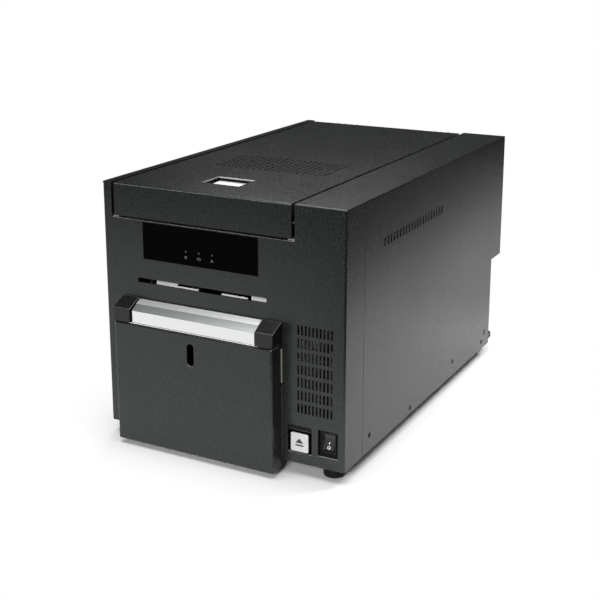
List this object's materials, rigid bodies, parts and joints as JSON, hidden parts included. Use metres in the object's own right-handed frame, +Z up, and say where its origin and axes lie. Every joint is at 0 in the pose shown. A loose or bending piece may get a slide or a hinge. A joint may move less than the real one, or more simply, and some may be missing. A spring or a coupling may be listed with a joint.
{
  "type": "id card printer",
  "caption": "Large-format ID card printer: charcoal sheet-steel case with a vented top lid, gloss control strip, card slot and a front card door with an aluminium grip",
  "frame": {"origin": "middle of the whole outline, on the surface that the feet stand on", "axes": "+Z up, -Y to the front with the card door, +X to the user's right at the power switch"},
  "size_m": [0.286, 0.486, 0.285],
  "materials": {
    "powder": "charcoal powder coat, fine speckled grain",
    "zinc": "zinc-plated sheet steel",
    "screw": "black-oxide steel",
    "rubber": "matte black",
    "gloss_black": "high gloss black",
    "black_plastic": "fine matte texture",
    "cap_plastic": "satin black",
    "white_plastic": "satin white",
    "anodised": "clear anodised, fine satin",
    "bright": "bright rolled",
    "chrome": "satin bright plating",
    "alloy": "satin machined",
    "bronze": "oiled sintered bronze",
    "motor": "black lacquer over laminations",
    "board": "green solder mask",
    "gear_plastic": "natural acetal",
    "roller_rubber": "fine-ground dark rubber",
    "ribbon": "wound dye film"
  },
  "bodies": {
    "chassis": {"base_pan": "zinc", "front_cover": "powder", "left_side_panel": "powder", "right_side_panel": "powder", "rear_panel": "powder", "bay_wall": "zinc", "front_crossbar": "zinc", "inner_deck": "zinc", "rubber_feet": "rubber", "case_screws": "screw", "control_panel": "gloss_black", "status_lights": "board", "card_guide": "white_plastic", "card_tray": "powder", "roller_catches": "black_plastic", "catch_plate": "bright", "door_hinge_leaf": "powder", "door_hinge_pin": "screw", "key_housing": "black_plastic", "switch_housing": "black_plastic", "engine_frame_left": "zinc", "engine_frame_right": "zinc", "frame_tie_bars": "bright", "shaft_bushes": "bronze", "feed_motor": "motor", "main_board": "board", "power_supply": "zinc", "fan_housing": "black_plastic", "power_inlet": "black_plastic", "data_ports": "bright", "lid_hinge_leaves": "zinc", "lid_hinge_pins": "screw"},
    "lid": {"lid_panel": "powder", "lid_finger_cup": "black_plastic", "lid_knuckle_leaves": "zinc"},
    "latch_paddle": {"latch_paddle": "chrome"},
    "door": {"door_shell": "powder", "door_handle": "anodised", "door_cap_left": "cap_plastic", "door_cap_right": "cap_plastic", "door_knuckle_leaf": "powder", "door_tongue": "zinc"},
    "release_key": {"release_key": "white_plastic"},
    "power_rocker": {"power_rocker": "gloss_black"},
    "entry_roller": {"entry_roller": "roller_rubber"},
    "platen_roller": {"platen_roller": "roller_rubber"},
    "exit_roller": {"exit_roller": "roller_rubber"},
    "front_idler": {"front_idler": "gear_plastic"},
    "rear_idler": {"rear_idler": "gear_plastic"},
    "pick_idler": {"pick_idler": "gear_plastic"},
    "pick_roller": {"pick_roller": "roller_rubber"},
    "motor_pinion": {"motor_pinion": "bronze"},
    "takeup_idler": {"takeup_idler": "gear_plastic"},
    "front_pinch_roller": {"front_pinch_roller": "bright"},
    "rear_pinch_roller": {"rear_pinch_roller": "bright"},
    "takeup_spool": {"takeup_spool": "ribbon"},
    "supply_spool": {"supply_spool": "ribbon"},
    "print_head": {"print_head": "alloy"},
    "lift_plate": {"lift_plate": "zinc"},
    "fan_rotor": {"fan_rotor": "black_plastic"}
  },
  "joints": [
    {"name": "lid_hinge", "type": "hinge", "parent": "chassis", "child": "lid", "pos_m": [-0.023, 0.2396, 0.2816], "axis": [-1, 0, 0], "range_deg": [0, 100]},
    {"name": "paddle_press", "type": "hinge", "parent": "lid", "child": "latch_paddle", "pos_m": [-0.0245, -0.1504, 0.2781], "axis": [1, 0, 0], "range_deg": [0, 15], "stiffness_Nm_per_rad": 0.15, "springref_deg": -20.05},
    {"name": "door_hinge", "type": "hinge", "parent": "chassis", "child": "door", "pos_m": [-0.1228, -0.2265, 0.073], "axis": [0, 0, -1], "range_deg": [0, 100]},
    {"name": "key_press", "type": "slide", "parent": "chassis", "child": "release_key", "axis": [0, 1, 0], "range_m": [0, 0.003], "stiffness_N_per_m": 400, "springref_m": -0.002},
    {"name": "rocker_tilt", "type": "hinge", "parent": "chassis", "child": "power_rocker", "pos_m": [0.1244, -0.2144, 0.042], "axis": [1, 0, 0], "range_deg": [0, 22]},
    {"name": "platen_spin", "type": "hinge", "parent": "chassis", "child": "platen_roller", "pos_m": [-0.1165, -0.093, 0.1714], "axis": [1, 0, 0], "continuous": true},
    {"name": "entry_spin", "type": "hinge", "parent": "chassis", "child": "entry_roller", "pos_m": [-0.1165, -0.165, 0.1714], "axis": [1, 0, 0], "continuous": true},
    {"name": "exit_spin", "type": "hinge", "parent": "chassis", "child": "exit_roller", "pos_m": [-0.1165, -0.021, 0.1714], "axis": [1, 0, 0], "continuous": true},
    {"name": "front_idler_spin", "type": "hinge", "parent": "chassis", "child": "front_idler", "pos_m": [-0.1165, -0.129, 0.1714], "axis": [1, 0, 0], "continuous": true},
    {"name": "rear_idler_spin", "type": "hinge", "parent": "chassis", "child": "rear_idler", "pos_m": [-0.1165, -0.057, 0.1714], "axis": [1, 0, 0], "continuous": true},
    {"name": "pinion_spin", "type": "hinge", "parent": "chassis", "child": "motor_pinion", "pos_m": [-0.1165, -0.129, 0.1474], "axis": [1, 0, 0], "continuous": true},
    {"name": "pick_idler_spin", "type": "hinge", "parent": "chassis", "child": "pick_idler", "pos_m": [-0.1165, -0.165, 0.1384], "axis": [1, 0, 0], "continuous": true},
    {"name": "pick_spin", "type": "hinge", "parent": "chassis", "child": "pick_roller", "pos_m": [-0.1165, -0.165, 0.1144], "axis": [1, 0, 0], "continuous": true},
    {"name": "takeup_idler_spin", "type": "hinge", "parent": "chassis", "child": "takeup_idler", "pos_m": [-0.1165, -0.15423, 0.201], "axis": [1, 0, 0], "continuous": true},
    {"name": "takeup_spin", "type": "hinge", "parent": "chassis", "child": "takeup_spool", "pos_m": [-0.1165, -0.14448, 0.22778], "axis": [1, 0, 0], "continuous": true},
    {"name": "front_pinch_spin", "type": "hinge", "parent": "chassis", "child": "front_pinch_roller", "pos_m": [-0.1165, -0.165, 0.1872], "axis": [1, 0, 0], "continuous": true},
    {"name": "rear_pinch_spin", "type": "hinge", "parent": "chassis", "child": "rear_pinch_roller", "pos_m": [-0.1165, -0.021, 0.1872], "axis": [1, 0, 0], "continuous": true},
    {"name": "supply_spin", "type": "hinge", "parent": "chassis", "child": "supply_spool", "pos_m": [-0.1165, 0.013, 0.221], "axis": [1, 0, 0], "continuous": true},
    {"name": "head_lift", "type": "hinge", "parent": "chassis", "child": "print_head", "pos_m": [-0.024, -0.037, 0.212], "axis": [-1, 0, 0], "range_deg": [0, 12], "stiffness_Nm_per_rad": 1.5, "springref_deg": -17.19},
    {"name": "stack_lift", "type": "slide", "parent": "chassis", "child": "lift_plate", "axis": [0, 0, 1], "range_m": [0, 0.072]},
    {"name": "fan_spin", "type": "hinge", "parent": "chassis", "child": "fan_rotor", "pos_m": [0.115, 0.198, 0.093], "axis": [0, 1, 0], "continuous": true}
  ],
  "couplings": [
    {"joint": "entry_spin", "follows": "platen_spin", "ratio": 1},
    {"joint": "exit_spin", "follows": "platen_spin", "ratio": 1},
    {"joint": "front_idler_spin", "follows": "platen_spin", "ratio": -1.4},
    {"joint": "rear_idler_spin", "follows": "platen_spin", "ratio": -1.4},
    {"joint": "pinion_spin", "follows": "platen_spin", "ratio": 2.3333},
    {"joint": "pick_idler_spin", "follows": "platen_spin", "ratio": -1.75},
    {"joint": "pick_spin", "follows": "platen_spin", "ratio": 1.75},
    {"joint": "takeup_idler_spin", "follows": "platen_spin", "ratio": -2},
    {"joint": "takeup_spin", "follows": "platen_spin", "ratio": 1.1667},
    {"joint": "front_pinch_spin", "follows": "platen_spin", "ratio": -1.5},
    {"joint": "rear_pinch_spin", "follows": "platen_spin", "ratio": -1.5}
  ]
}
